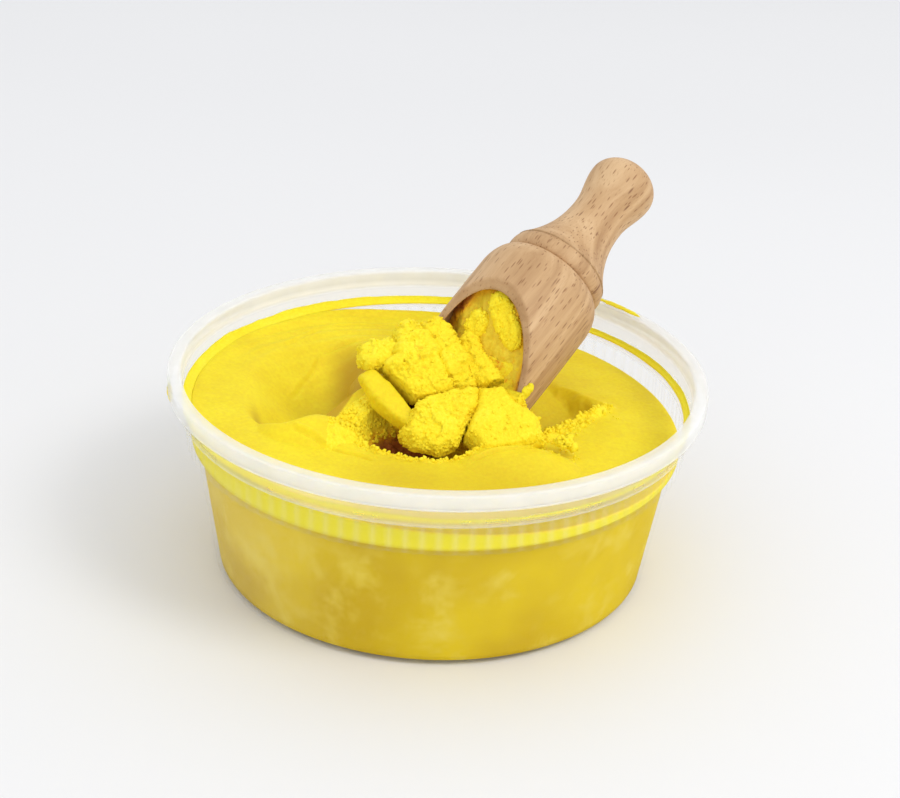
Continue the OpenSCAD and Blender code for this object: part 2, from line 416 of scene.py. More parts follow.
SMOOTH_TONES = [(0.80, 0.61, 0.010), (0.85, 0.675, 0.012), (0.89, 0.735, 0.016)]
GRAINY_TONES = [(0.95, 0.70, 0.012), (0.99, 0.80, 0.018), (1.0, 0.87, 0.045)]
# Warmer tones: painted shade on the clay packed in the bore.
SHADED_TONES = [(0.78, 0.54, 0.02), (0.86, 0.64, 0.03), (0.93, 0.74, 0.05)]
# Brighter than the smooth clay: painted light that lifts the residue out of the shade of the wall.
LIT_RESIDUE_TONES = [(0.93, 0.73, 0.015), (0.96, 0.79, 0.02), (0.98, 0.84, 0.04)]
clay_smooth = clay_material("clay_smooth", SMOOTH_TONES, 0.9, 0.12)
clay_grainy = clay_material("clay_grainy", GRAINY_TONES, 0.55, 0.45, (0.6, 0.85), 0.0)
clay_packed_shaded = clay_material("clay_packed_shaded", SHADED_TONES, 0.8, 0.3, glow=0.0)
clay_residue_lit = clay_material("clay_residue_lit", LIT_RESIDUE_TONES, 0.8, 0.2)


def clay_side_material():
    """Clay pressed against the wall, drawn darker than the clay's top as painted shade on its
    side: bright in the ribbed band, with paler patches below it where air is trapped."""
    look = Look("clay_side")
    z = look.height()
    in_band = look.ranged(z, (BAND_Z - 0.2) * MM, (BAND_Z + 1.3) * MM)
    below_band = look.ranged(z, (BAND_Z + 0.8) * MM, (BAND_Z - 6.2) * MM)
    patches = look.noise(look.where, 95.0, 8.0, 0.66)
    pale = look.times(look.ranged(patches, 0.50, 0.70), below_band)
    drift = look.noise(look.where, 38.0, 3.0)
    # Painted shade: the clay's side is drawn darker than its top, except up in the ribbed band.
    tone = look.ramp(drift, (0.35, (0.60, 0.40, 0.005)), (0.65, (0.74, 0.54, 0.006)))
    tone = look.mixed(in_band, tone, (0.84, 0.73, 0.008))
    tone = look.mixed(pale, tone, (0.78, 0.61, 0.075))
    return look.finish(Base_Color=tone, Normal=look.bump(patches, 0.3, 0.6 * MM),
                       Roughness=0.7, Specular_IOR_Level=0.1)


clay_side = clay_side_material()


def tub_material():
    """Frosted polypropylene. Its opacity is a mesh attribute, which also holds painted light and
    haze low on the left, with a slight cloudiness.
    """
    look = Look("tub_frosted")
    cloud = look.noise(look.where, 110.0, 4.0)
    haze = look.noise(look.where, 420.0, 2.0)
    milk_and_painted_haze = look.times(look.attribute("milk_and_painted_haze"), look.ranged(cloud, 0.0, 1.0, 0.85, 1.15))
    tone = look.ramp(cloud, (0.3, (0.95, 0.96, 0.94)), (0.7, (0.99, 0.99, 0.97)))
    return look.finish(
        Base_Color=tone, Alpha=milk_and_painted_haze, Roughness=look.ranged(haze, 0.0, 1.0, 0.26, 0.42),
        Normal=look.bump(haze, 0.05, 0.2 * MM), IOR=1.49, Specular_IOR_Level=0.3,
        Subsurface_Weight=0.6, Subsurface_Radius=(1.0, 1.0, 1.0), Subsurface_Scale=0.002)


def beech_material():
    """Turned beech: grain, short dark flecks and a few long pores along the scoop's axis, darker on
    the cut edge of the mouth and with painted shade in the bore.
    """
    look = Look("beech")
    along_grain = look.attribute("along_grain", "Vector")
    rings = look.noise(look.stretched(along_grain, (0.35, 0.12, 0.02)), 1.0, 5.0, 0.6)
    fibre = look.noise(look.stretched(along_grain, (3.2, 3.2, 0.16)), 1.0, 3.0, 0.7)
    fleck = look.cells(look.stretched(along_grain, (1.5, 1.5, 0.24)), 1.0)
    pore = look.cells(look.stretched(along_grain, (0.42, 0.42, 0.045)), 1.0)
    tone = look.ramp(rings, (0.32, (0.42, 0.24, 0.11)), (0.5, (0.56, 0.35, 0.175)),
                     (0.66, (0.67, 0.45, 0.245)))
    for amount, most, dark in (
            (look.ranged(fibre, 0.55, 0.75), 0.7, (0.42, 0.22, 0.10)),
            (look.ranged(fleck, 0.29, 0.16), 0.75, (0.27, 0.125, 0.05)),
            (look.ranged(pore, 0.13, 0.07), 0.8, (0.22, 0.10, 0.045)),
            (look.attribute("cut_face_and_bore_shade"), 0.45, (0.36, 0.20, 0.09))):
        tone = look.mixed(look.times(amount, most), tone, dark)
    return look.finish(Base_Color=tone, Roughness=look.ranged(fibre, 0.0, 1.0, 0.5, 0.7),
                       Normal=look.bump(fibre, 0.25, 0.2 * MM), Specular_IOR_Level=0.35)


def floor_material():
    look = Look("studio_floor", "Generated")
    mottle = look.noise(look.where, 30.0, 2.0)
    tone = look.ramp(mottle, (0.3, (0.80, 0.80, 0.805)), (0.7, (0.82, 0.82, 0.825)))
    return look.finish(Base_Color=tone, Roughness=0.8, Specular_IOR_Level=0.2)


# ---- tub ----

def arc(centre_r, centre_z, radius, start, stop, steps):
    """Points of an arc in the profile plane, angles in degrees from the +r direction."""
    return [(centre_r + radius * math.cos(math.radians(a)),
             centre_z + radius * math.sin(math.radians(a)))
            for a in np.linspace(start, stop, steps)]


def line(start, stop, steps):
    return [(mix(start[0], stop[0], t), mix(start[1], stop[1], t))
            for t in np.linspace(0, 1, steps)]


# Opacity of one surface of the wall at heights above the base, in mm.
MILK_HEIGHTS = [0.0, 30.0, 37.0, 38.2, 41.8, 42.6, 45.7]
MILKINESS = [0.008, 0.010, 0.02, 0.13, 0.18, 0.34, 0.42]


def tub_profile():
    """Outline of the outside from the base to the lip, and of the inside back down, (r, z)."""
    lip = 0.5
    fillet = 0.4
    outside = (line((0.01, 0), (BASE_R - 0.2, 0), 12)
               + arc(BASE_R, BASE_CORNER, BASE_CORNER, -90, 0, 7)
               + line((BASE_R + BASE_CORNER + 0.15, 3), (LOW_WALL_R, BAND_Z), 24)
               + arc(BAND_R - fillet, BAND_Z + fillet, fillet, -80, 0, 4)
               + line((BAND_R, BAND_Z + 0.6), (BAND_R, BAND_TOP - 0.6), 10)
               + arc(BAND_R - fillet, BAND_TOP - fillet, fillet, 0, 60, 3)
               + arc(NECK_R - fillet, BAND_TOP + fillet, fillet, -90, 0, 4)
               + line((NECK_R, BAND_TOP + 1), (NECK_TOP_R, SKIRT_Z), 6)
               + line((NECK_TOP_R, SKIRT_Z + 0.8), (NECK_TOP_R, TUB_H - WALL), 4)
               + line((RIM_R - WALL, TUB_H - WALL), (RIM_R - WALL, SKIRT_Z + 0.2), 5)
               + arc(RIM_R - WALL / 2, SKIRT_Z + WALL / 2, WALL / 2, 180, 360, 7)
               + line((RIM_R, SKIRT_Z + 0.7), (RIM_R, TUB_H - lip - 0.2), 5)
               + arc(RIM_R - lip, TUB_H - lip, lip, 0, 90, 6))
    ledge_z = BAND_TOP + LEDGE_DROP
    inside = (arc(NECK_TOP_R - WALL + lip, TUB_H - lip, lip, 90, 180, 5)
              + line((NECK_TOP_R - WALL, TUB_H - 1), (NECK_R - WALL, ledge_z + 0.4), 7)
              + line((NECK_R - WALL - 0.3, ledge_z), (BAND_R - WALL + 0.3, ledge_z), 3)
              + line((BAND_R - WALL, ledge_z - 0.4), (BAND_R - WALL, BAND_Z + 0.9), 8)
              + line((BAND_R - WALL - 0.2, BAND_Z + LEDGE_DROP),
                     (LOW_WALL_R - WALL, BAND_Z + LEDGE_DROP), 3)
              + line((LOW_WALL_R - WALL, BAND_Z), (BASE_R + BASE_CORNER - WALL, WALL + 1.2), 20)
              + line((BASE_R - WALL, WALL), (0.01, WALL), 12))
    return outside, inside


def tub_milk_and_painted_haze(rings, theta):
    """Opacity: by height, between the ribs, at the sharp edges, and low on the left as painted
    light and haze.
    """
    z = rings[..., 2]
    milk_and_painted_haze = np.interp(z, MILK_HEIGHTS, MILKINESS)
    between = np.clip(0.5 - 0.5 * np.cos(theta * RIBS), 0, 1) ** 3
    band = smooth(BAND_Z, BAND_Z + 0.5, z) * smooth(BAND_TOP + 0.3, BAND_TOP - 0.2, z)
    milk_and_painted_haze = milk_and_painted_haze + band * (0.01 + 0.06 * between)
    # Painted light and haze: paler low on the left, where the wall is lit from the left and seen at
    # a grazing angle.
    milk_and_painted_haze = milk_and_painted_haze + 0.05 * smooth(-12, -50, rings[..., 0]) * smooth(BAND_TOP, BAND_Z - 4, z)
    edge = np.exp(-((z - SKIRT_Z - 0.1) / 0.35) ** 2) + np.exp(-((z - BAND_TOP - 0.3) / 0.4) ** 2)
    return milk_and_painted_haze + 0.25 * edge


def make_tub():
    outside, inside = tub_profile()
    profile = np.array(outside + inside)
    columns = RIBS * 6
    theta = np.arange(columns) / columns * TAU
    ribbed = ((np.arange(len(profile)) < len(outside)) & (np.abs(profile[:, 0] - BAND_R) < 0.05)
              & (profile[:, 1] > BAND_Z) & (profile[:, 1] < BAND_TOP))
    rib = np.clip(1.6 * np.cos(theta * RIBS), 0, 1) * RIB_DEPTH
    radius = profile[:, :1] + ribbed[:, None] * rib[None, :]
    rings = polar(radius, theta, profile[:, 1:])
    obj = capped_rings("tub_look", rings, [tub_material()])
    milk_and_painted_haze = tub_milk_and_painted_haze(rings, theta).ravel()
    set_attribute(obj, "milk_and_painted_haze", np.concatenate([milk_and_painted_haze, [0.02, 0.02]]))
    return obj


# ---- the clay that fills the tub ----

DENT_AT = (-26.5, 9.5)
DENT_AXIS = np.array([0.25, 0.968])
DENT_LENGTH = 26.5
DENT_DEPTH = 10.5
DENT_EDGE_X = [-42.0, -38.0, -35.0, -31.5, -25.0, -20.0]
DENT_EDGE_Y = [-6.0, -14.0, -15.0, -11.0, -9.0, -3.0]
CREST_X = [-28.0, -25.5, -23.0, -20.0, -17.6, -15.0, -11.0]
CREST_Y = [-12.0, -9.0, -6.0, -3.0, -1.0, 1.2, 3.5]
CREST_Z = [34.2, 35.2, 36.6, 38.2, 39.4, 40.4, 41.0]
HOLE_AT = (-2.5, -13.0)
HOLE_SIZE = (14.0, 11.0)
TRENCH_FROM = np.array([22.0, -8.0])
TRENCH_TO = np.array([38.6, 11.2])
# Scratches run from (x, y) to (x, y), each with its depth.
SCRATCHES = [(-33.5, 12, -27, 28.5, 0.3), (-27.5, 28, -19, 34, 0.35), (-36, 26, -29, 37, 0.3),
             (-31, -18, -12, -25.5, 0.6), (7, -24, 22, -16.5, 0.7), (-26, 40, -8, 46, 0.3)]
NOWHERE = -99.0


def dent_reach(x, y):
    """1 on the dent's outline, and how far a point lies to the near right, from -1 to 1."""
    away = np.stack([x - DENT_AT[0], y - DENT_AT[1]], -1)
    along = away @ DENT_AXIS / DENT_LENGTH
    across = away @ np.array([DENT_AXIS[1], -DENT_AXIS[0]])
    across = across / np.where(across > 0, 11.5, 16.5)
    reach = np.sqrt(along ** 2 + across ** 2) + 1e-6
    return reach, (0.6 * across - 0.8 * along) / reach


def dent(x, y):
    """Smooth scooped dent on the left: soft on its far left side, crisp on the near right."""
    reach, facing = dent_reach(x, y)
    power = mix(2.0, 0.55, smooth(-0.1, 0.7, facing))
    return DENT_DEPTH * np.maximum(1 - reach ** 2, 0) ** power


def dent_shade(x, y):
    """Painted shade on the clay: under the dent's near edge, on its right wall, in the cut, and
    towards the front.
    """
    past_edge = y - np.interp(x, DENT_EDGE_X, DENT_EDGE_Y)
    near = smooth(0.3, 2.5, dent(x, y)) * smooth(10.0, 1.0, past_edge)
    wall = smooth(-28.0, -20.0, x) * smooth(-6, -14, x) * smooth(36, 24, y) * smooth(-12, -8, y)
    wall = wall * smooth(0.0, 0.6, y - np.interp(x, CREST_X, CREST_Y))
    trench_along, trench_across = trench_coordinates(x, y)
    trench = smooth(16.0, 1.0, trench_across) * smooth(-0.3, 0.2, trench_across)
    trench = trench * smooth(0.0, 0.3, trench_along) * smooth(1.03, 0.85, trench_along)
    front = smooth(-16, -34, y) * smooth(-24, -8, x)
    return 0.9 * near + 0.95 * wall + 0.55 * trench + 0.40 * front


def hole_reach(x, y):
    return np.hypot((x - HOLE_AT[0]) / HOLE_SIZE[0], (y - HOLE_AT[1]) / HOLE_SIZE[1])


def trench_coordinates(x, y):
    """How far a point lies along the trench, from 0 to 1, and how far to its left, in mm."""
    run = TRENCH_TO - TRENCH_FROM
    length = np.hypot(*run)
    away = np.stack([x - TRENCH_FROM[0], y - TRENCH_FROM[1]], -1)
    along = away @ run / length
    across = away @ np.array([-run[1], run[0]]) / length
    return along / length, across


def scoop_floor(x, y):
    """Lowest point of the space that the scoop leaves through, above each (x, y)."""
    axis = np.array(SCOOP_TURN @ Vector((0, 0, 1)))
    start = flat(x, y) - np.array(SCOOP_AT)
    up = np.array([0, 0, 1.0])
    side = start - (start @ axis)[..., None] * axis
    climb = up - axis[2] * axis
    a = climb @ climb
    b = side @ climb
    c = np.sum(side * side, -1) - (BOWL_R + PATH_GAP) ** 2
    inside = b * b - a * c
    root = np.sqrt(np.maximum(inside, 0))
    low, high = (-b - root) / a, (-b + root) / a
    tip = (-BOWL_L - PATH_GAP - start @ axis) / axis[2]
    low = np.maximum(low, tip)
    normal = np.array(SCOOP_TURN @ Vector((-math.sin(MOUTH_SLANT), 0, -math.cos(MOUTH_SLANT))))
    apex = to_world(np.array([-BOWL_R, 0, MOUTH_APEX])) - np.array(SCOOP_AT)
    limit = (PATH_GAP - (start - apex) @ normal) / normal[2]
    high = np.minimum(high, limit)
    return np.where((inside > 0) & (high > low), low, -NOWHERE)


def resting_level(x, y):
    """The clay before it was dug: tilted and uneven, with faint strokes at the back left."""
    h = CLAY_Z - CLAY_FALL * x
    h = h + 0.5 * fbm(flat(x, y), 16, 3, 11) * smooth(CLAY_R, CLAY_R - 6, np.hypot(x, y))
    h = h + 0.8 * smooth(0, -30, x) * smooth(-20, 20, y)
    back = smooth(8, 34, y) * smooth(12, -12, x)
    wander = 0.8 * value_noise(flat(x, y), 14, 5)
    return h + back * 0.16 * np.sin(1.9 * np.hypot(x + 4, y + 6) + wander)


def mound(x, y):
    """Rise behind the heap, kept below the heap's own face."""
    reach = np.hypot((x + 3) / 17, (y - 8) / 17)
    top = CLAY_Z + 9 * np.maximum(1 - reach ** 2, 0) ** 0.8
    under_heap = HEAP_FOOT[2] + (y - HEAP_FOOT[1]) * math.tan(HEAP_SLOPE) - 8
    return np.where(reach < 1, np.minimum(top, under_heap), NOWHERE)


def ridge(x, y):
    """Crest between the dent and the heap, steep on the dent's side."""
    behind = (y - np.interp(x, CREST_X, CREST_Y)) * 0.75
    top = np.interp(x, CREST_X, CREST_Z) - np.where(behind > 0, 1.9 * behind, -0.5 * behind)
    return np.where((x > -29) & (x < -9), top, NOWHERE)


def trench_relief(x, y):
    """The cut beside the scoop, with streaks along its slope and a raised lip."""
    along, across = trench_coordinates(x, y)
    end = 1 + 0.06 * fbm(flat(x, y), 5.0, 3, 63)
    inside = smooth(-0.25, 0.0, along) * smooth(end + 0.02, end - 0.12, along)
    slope = smooth(-0.3, 0.5, across) * (1 - smooth(0.5, 21, across) ** 0.7)
    length = np.hypot(*(TRENCH_TO - TRENCH_FROM))
    streak = np.stack([0.06 * along * length, across, 0 * across], -1)
    lip = np.exp(-((across + 1.2) / 1.3) ** 2)
    lip = lip * smooth(-0.1, 0.1, along) * smooth(1.06, 0.96, along)
    return 0.9 * lip - inside * slope * (7.5 + 0.9 * fbm(streak, 1.6, 3, 61))


def scratch_relief(x, y):
    """Shallow scratches, each with a little clay turned up along one side."""
    relief = 0
    for x1, y1, x2, y2, depth in SCRATCHES:
        run = np.array([x2 - x1, y2 - y1])
        length = np.hypot(*run)
        along = ((x - x1) * run[0] + (y - y1) * run[1]) / length
        off = (-(x - x1) * run[1] + (y - y1) * run[0]) / length + 0.14 * np.sin(0.7 * along)
        ends = smooth(0, 2, along) * smooth(length, length - 2, along)
        groove = 0.7 * np.exp(-((off - 0.8) / 0.5) ** 2) - np.exp(-(off / 0.35) ** 2)
        relief = relief + depth * ends * groove
    return relief


def clay_height(x, y):
    h = resting_level(x, y)
    hump = np.maximum(1 - ((x + 27) / 11) ** 2 - ((y + 15) / 6.5) ** 2, 0)
    h = h + 3.9 * hump * smooth(0.93, 1.03, dent_reach(x, y)[0]) - dent(x, y)
    h = np.maximum(np.maximum(h, mound(x, y)), ridge(x, y))
    front = np.hypot((x - 18) / 13, (y + 21) / 8)
    h = h + 2.9 * np.maximum(1 - front ** 2, 0) ** 0.9
    hole = hole_reach(x, y)
    hollow = CLAY_Z + 0.4 - 9.5 * np.maximum(1 - hole ** 4, 0)
    h = np.where(hole < 1, np.minimum(h, hollow), h)
    h = h + trench_relief(x, y)

    grainy = granular_mask(x, y)
    deep = np.stack([x, y, h], -1)
    h = h + grainy * (0.8 * grains(deep, 1.2, 3) + 0.35 * grains(deep, 0.6, 4) - 0.45
                      + 0.9 * fbm(flat(x, y), 3.5, 2, 6))
    h = h + (1 - grainy) * 0.05 * fbm(flat(x, y), 2.5, 3, 21)
    at_wall = smooth(CLAY_R - 5.0, CLAY_R - 0.4, np.hypot(x, y)) * smooth(30, 0, x)
    h = h + (0.8 * smooth(10, 44, y) + 0.3) * at_wall
    h = h + scratch_relief(x, y)
    return np.minimum(h, scoop_floor(x, y) - 0.05)


def granular_mask(x, y):
    """1 where the clay was torn rather than smoothed."""
    start = flat(x, y)
    x = x + 1.3 * fbm(start, 4.0, 3, 71)
    y = y + 1.3 * fbm(start, 4.0, 3, 72)
    crest_y = np.interp(x, CREST_X, CREST_Y)
    in_front = crest_y - y
    face = (smooth(2.6, 3.4, in_front) * smooth(-24.5, -21.5, x) * smooth(-4, -8, x)
            * smooth(19, 16, in_front))
    hole = hole_reach(x, y)
    rim = smooth(0.45, 0.8, hole) * smooth(1.13, 1.04, hole)
    along, across = trench_coordinates(x, y)
    torn = smooth(-2.6, -1.6, across) * smooth(1.2, 0.3, across)
    torn = torn * smooth(-0.3, -0.1, along) * smooth(1.03, 1.0, along)
    return np.clip(np.maximum(np.maximum(face, rim), torn), 0, 1)


def make_clay():
    columns, top_rings = 720, 205
    theta = np.arange(columns) / columns * TAU
    wall_bottom = BASE_R + BASE_CORNER - WALL - 0.2
    wall_top = LOW_WALL_R - WALL - 0.15
    side = (line((0.01, CLAY_FLOOR), (wall_bottom - 1, CLAY_FLOOR), 8)
            + line((wall_bottom, CLAY_FLOOR + 0.6), (wall_top, BAND_Z), 24)
            + line((wall_top, BAND_Z + 0.66), (CLAY_R - 0.1, BAND_Z + 0.66), 3))
    rings = [polar(r, theta, z) for r, z in side]
    edge_x, edge_y = CLAY_R * np.cos(theta), CLAY_R * np.sin(theta)
    edge_z = clay_height(edge_x, edge_y)
    rings += [np.stack([edge_x, edge_y, mix(BAND_Z + 0.7, edge_z - 0.2, t)], -1)
              for t in np.linspace(0, 1, 6)]
    radii = np.concatenate([[CLAY_R - 0.15], np.linspace(CLAY_R - 0.4, 0.02, top_rings)])
    x, y = radii[:, None] * np.cos(theta), radii[:, None] * np.sin(theta)
    rings += list(np.stack([x, y, clay_height(x, y)], -1))
    rings = np.array(rings)
    side_count = len(side) + 6
    obj = capped_rings("clay_look", rings, [clay_smooth, clay_side, clay_grainy])
    middle = np.array([polygon.center[:] for polygon in obj.data.polygons]) / MM
    kind = np.where(granular_mask(middle[:, 0], middle[:, 1]) > 0.5, 2, 0)
    index = np.arange(len(kind))
    kind = np.where(index < (side_count - 1) * columns, 1, kind)
    obj.data.polygons.foreach_set("material_index", kind.astype(int).tolist())
    points = rings.reshape(-1, 3)
    x, y, z = points.T
    hole = hole_reach(x, y)
    # Painted shade: in the creases of torn clay, and deep in the hole below the clay's top.
    pit_shading = granular_mask(x, y) * torn_pit_shading(grains(points, 1.2, 3), grains(points, 0.6, 4))
    pit_shading = pit_shading + smooth(1.0, 0.9, hole) * smooth(CLAY_Z - 0.5, CLAY_Z - 5.5, z)
    on_top = np.arange(len(x)) >= (side_count + 1) * columns
    set_pit_shading(obj, on_top * pit_shading)
    shade = np.concatenate([on_top * np.clip(dent_shade(x, y), 0, 1), [0.0, 0.0]])
    set_attribute(obj, "shade", shade)
    return obj


# ---- broken pieces of the heap ----

def lump(name, outline, out, thick, dome, seed, rest=38.0, grain=1.0, material=clay_grainy,
         moving=False, cracks=()):
    """Broken piece with an outline on the heap's face. It stands `out` proud of the face,
    is `thick` deep and may not reach below the height `rest`."""
    outline = np.array(outline, float)
    middle = outline.mean(0)
    levels = [(0.0, 0.80), (-0.18, 0.95), (-0.5, 1.0), (-0.85, 0.92), (-1.0, 0.75)]
    rings = []
    for depth, grow in levels:
        x, v = (middle + (outline - middle) * grow).T
        rings.append(heap_point(x, v, out + depth * thick))
    torn_all_over = grain > 0.2
    points, normals, faces = fine_skin(name, np.array(rings), 6 if torn_all_over else 60)
    x, v, _ = heap_coordinates(points)
    reach = np.clip(1 - ((x - middle[0]) ** 2 + (v - middle[1]) ** 2) / 90.0, 0, 1)
    facing = np.clip(normals @ np.array([0, -math.sin(HEAP_SLOPE), math.cos(HEAP_SLOPE)]), 0, 1)
    shift = 1.0 * fbm(points, 7.0, 2, seed) + dome * reach * facing
    torn, pit_shading = torn_relief(points, grain, seed)
    points = keep_clear(points + normals * (shift + torn)[:, None], moving, cracks)
    points[:, 2] = np.maximum(points[:, 2], rest + 0.3 * value_noise(points, 2.0, seed))
    odds = (0.25 + np.clip(1.1 - facing, 0, 1)) * (points[:, 2] > rest + 1.0)
    count = int(1100 * grain) if torn_all_over else 1
    return crumbled(name, points, faces, pit_shading, odds, count, material, seed,
                    lambda more: keep_clear(more, moving, cracks))


def fine_skin(name, rings, rounding=6):
    """Points, normals and four-cornered faces of a fine even mesh around a rough solid."""
    obj = capped_rings(name, rings, [])
    remesh = obj.modifiers.new("remesh", "REMESH")
    remesh.mode = "VOXEL"
    remesh.voxel_size = FINE_STEP * MM
    apply_modifiers(obj)
    soften = obj.modifiers.new("soften", "SMOOTH")
    soften.iterations = rounding
    apply_modifiers(obj)
    corners = np.empty(len(obj.data.loops), dtype=np.int64)
    obj.data.loops.foreach_get("vertex_index", corners)
    points, normals = read_vectors(obj, "co") / MM, read_vectors(obj, "normal")
    bpy.data.objects.remove(obj)
    return points, normals, corners.reshape(-1, 4).tolist()


def torn_relief(points, grain, seed):
    """Height of torn clay, from broken chunks, thin cracks and grains, and its painted shade in the
    cracks and between the grains.
    """
    rough = 0.3 + 0.7 * smooth(-0.35, 0.3, value_noise(points, 5.0, seed + 9))
    coarse, fine = grains(points, 1.2, seed + 1), grains(points, 0.6, seed + 2)
    crack = creases(points, 9.0, seed + 4)
    height = (0.5 * chunks(points, 5.0, seed + 7) + 0.22 * chunks(points, 2.1, seed + 8)
              - 0.25 * crack + rough * (0.45 * coarse - 0.25) + 0.28 * fine - 0.14)
    pit_shading = 0.7 * torn_pit_shading(rough * coarse + 1 - rough, fine) + 0.1 * crack
    return grain * height + 0.1 * fbm(points, 0.9, 2, seed + 3), grain * pit_shading


def crumbled(name, points, faces, pit_shading, odds, count, material, seed, fit):
    """Piece of clay with loose crumbs stuck where the odds are high. fit() holds them in."""
    rng = np.random.default_rng(seed)
    chosen = rng.choice(len(points), size=count, p=odds / odds.sum())
    sizes = 0.09 + 0.3 * rng.uniform(size=count) ** 2
    more, more_faces = crumb_cloud(np.column_stack([points[chosen], sizes]), seed, len(points))
    obj = new_object(name, np.concatenate([points, fit(more)]), faces + more_faces, [material])
    set_pit_shading(obj, pit_shading)
    return obj


def torn_pit_shading(coarse, fine):
    """Painted shade in the creases between grains: how deep a point lies in them, from 0 to about
    0.6.
    """
    return 0.42 * smooth(0.5, 0.05, coarse) + 0.22 * smooth(0.45, 0.05, fine)


# Stores painted shade of creases and recesses as a mesh attribute, 0 where none is given.
def set_pit_shading(obj, values):
    values = np.concatenate([values, np.zeros(len(obj.data.vertices) - len(values))])
    set_attribute(obj, "pit_shade", np.clip(values, 0, 1))


def keep_clear(points, moving, cracks):
    """Holds a piece on its side of the cracks, and off the path of the scoop."""
    c, s = math.cos(HEAP_SLOPE), math.sin(HEAP_SLOPE)
    for crack_x, crack_v, turn, side in cracks:
        x, v, _ = heap_coordinates(points)
        angle = math.radians(turn)
        past = (x - crack_x) * -math.sin(angle) + (v - crack_v) * math.cos(angle)
        over = np.maximum(past * side + PATH_GAP / 2, 0) * side
        points = points - over[:, None] * np.array([-math.sin(angle), math.cos(angle) * c,
                                                    math.cos(angle) * s])
    if not moving:
        local = to_scoop(points)
        reach = np.hypot(local[:, 0], local[:, 1])
        lowest = mouth_z(local[:, 0]) - PATH_GAP / math.cos(MOUTH_SLANT)
        inside = (reach < BOWL_R + PATH_GAP) & (local[:, 2] > lowest)
        push = np.where(inside, (BOWL_R + PATH_GAP) / np.maximum(reach, 1), 1.0)
        local[:, :2] *= push[:, None]
        points = to_world(local)
    return points


# A crack passes through (right, up) and is turned by degrees. Pieces name their side of it.
SPLIT = (0.0, HEAP_SPLIT, 18.0)
SMOOTH_CRACK = (-9.0, 18.0, -46.0)
# Outlines are (right, up the face) from the heap's foot.
HEAP = {
    "lump_front_left": dict(
        outline=[(-7, 5.5), (-5.8, 11), (-1.8, 14.6), (4, 17.2), (8.6, 17.8), (8.9, 13),
                 (6.8, 8.5), (4.8, 3.6), (0.4, 0.2), (-4.4, 2)],
        out=0.4, thick=8.5, dome=1.2, rest=33.4, seed=31, cracks=[(*SPLIT, 1)]),
    "lump_front_right": dict(
        outline=[(6, 5.8), (8.4, 11.5), (8.9, 17.8), (13.8, 18.6), (17, 13.8), (21.8, 10.8),
                 (23.6, 5.6), (17.5, 2.2), (10.6, 1)],
        out=0.2, thick=8, dome=1.4, rest=33.6, seed=47, grain=0.35, cracks=[(*SPLIT, 1)]),
    "smooth_slab": dict(
        outline=[(-17.6, 20.4), (-14.6, 22.2), (-10.6, 18.6), (-7, 14.8), (-4, 10.4),
                 (-4.6, 6.8), (-9.4, 9.4), (-14.4, 14.6)],
        out=-0.9, thick=5.0, dome=0.8, rest=34.0, seed=53, grain=0.12, material=clay_smooth,
        cracks=[(*SMOOTH_CRACK, 1)]),
    "slab_left": dict(
        outline=[(-9.8, 31), (-8, 33.8), (-4.8, 33.6), (-1.2, 28), (2.6, 20.4), (2.8, 17.4),
                 (-2, 14.8), (-6, 14.4), (-9.8, 16.4), (-12.2, 20.9), (-9, 23.6), (-8.5, 27.5)],
        out=1.0, thick=6, dome=0.8, seed=61, grain=1.15, moving=True,
        cracks=[(*SPLIT, -1), (*SMOOTH_CRACK, -1)]),
    "slab_middle": dict(
        outline=[(-4.6, 33.8), (-1, 35.8), (1.6, 34.6), (4.8, 28.6), (7.8, 20.8), (8, 18.4),
                 (3.2, 17.4), (0.2, 26)],
        out=0.2, thick=6, dome=0.4, seed=71, moving=True, cracks=[(*SPLIT, -1)]),
    "slab_right": dict(
        outline=[(4.4, 30.8), (5.8, 32.8), (8, 31.6), (11.2, 24), (14.6, 19), (9.6, 18.2),
                 (7, 18.8), (5, 25.5)],
        out=0.0, thick=6, dome=0.4, seed=83, moving=True, cracks=[(*SPLIT, -1)]),
    "chip_left": dict(
        outline=[(-17.6, 26.8), (-15.4, 28.4), (-12.6, 27.8), (-9.2, 29.4), (-8.2, 26),
                 (-11, 22.9), (-14.4, 21.9), (-17.4, 22.9)],
        out=0.2, thick=4.5, dome=0.5, seed=97, grain=0.8, moving=True),
}


def make_heap():
    return {node: lump(node + "_look", **piece) for node, piece in HEAP.items()}


def crumb_cloud(spots, seed, offset):
    """Points and faces of many small uneven crumbs. A spot is (x, y, z, radius)."""
    rows, columns = 5, 6
    lat = np.linspace(-math.pi / 2 + 0.05, math.pi / 2 - 0.05, rows)[:, None]
    lon = np.arange(columns)[None] / columns * TAU
    ball = polar(np.cos(lat), lon, np.sin(lat)).reshape(-1, 3)
    spots = np.asarray(spots, float)
    count = len(spots)
    shift = 13.7 * np.arange(count)[:, None, None]
    bumps = 1 + 0.75 * fbm(ball[None] + shift, 1.0, 2, seed)
    squash = 1 + 0.5 * value_noise(np.arange(count)[:, None] * np.array([3.7, 5.1, 7.3]), 1.0, seed)
    points = spots[:, None, :3] + (ball[None] * bumps[..., None]
                                   * (spots[:, 3] * squash)[:, None, None])
    faces = []
    for k in range(count):
        start = offset + k * rows * columns
        faces += turned_faces(rows, columns, start)
        faces.append(tuple(start + j for j in reversed(range(columns))))
        faces.append(tuple(start + (rows - 1) * columns + j for j in range(columns)))
    return points.reshape(-1, 3), faces


def crumb_mesh(name, spots, seed):
    points, faces = crumb_cloud(spots, seed, 0)
    obj = new_object(name, points, faces, [clay_grainy])
    set_pit_shading(obj, 0 * points[:, 0])
    return obj


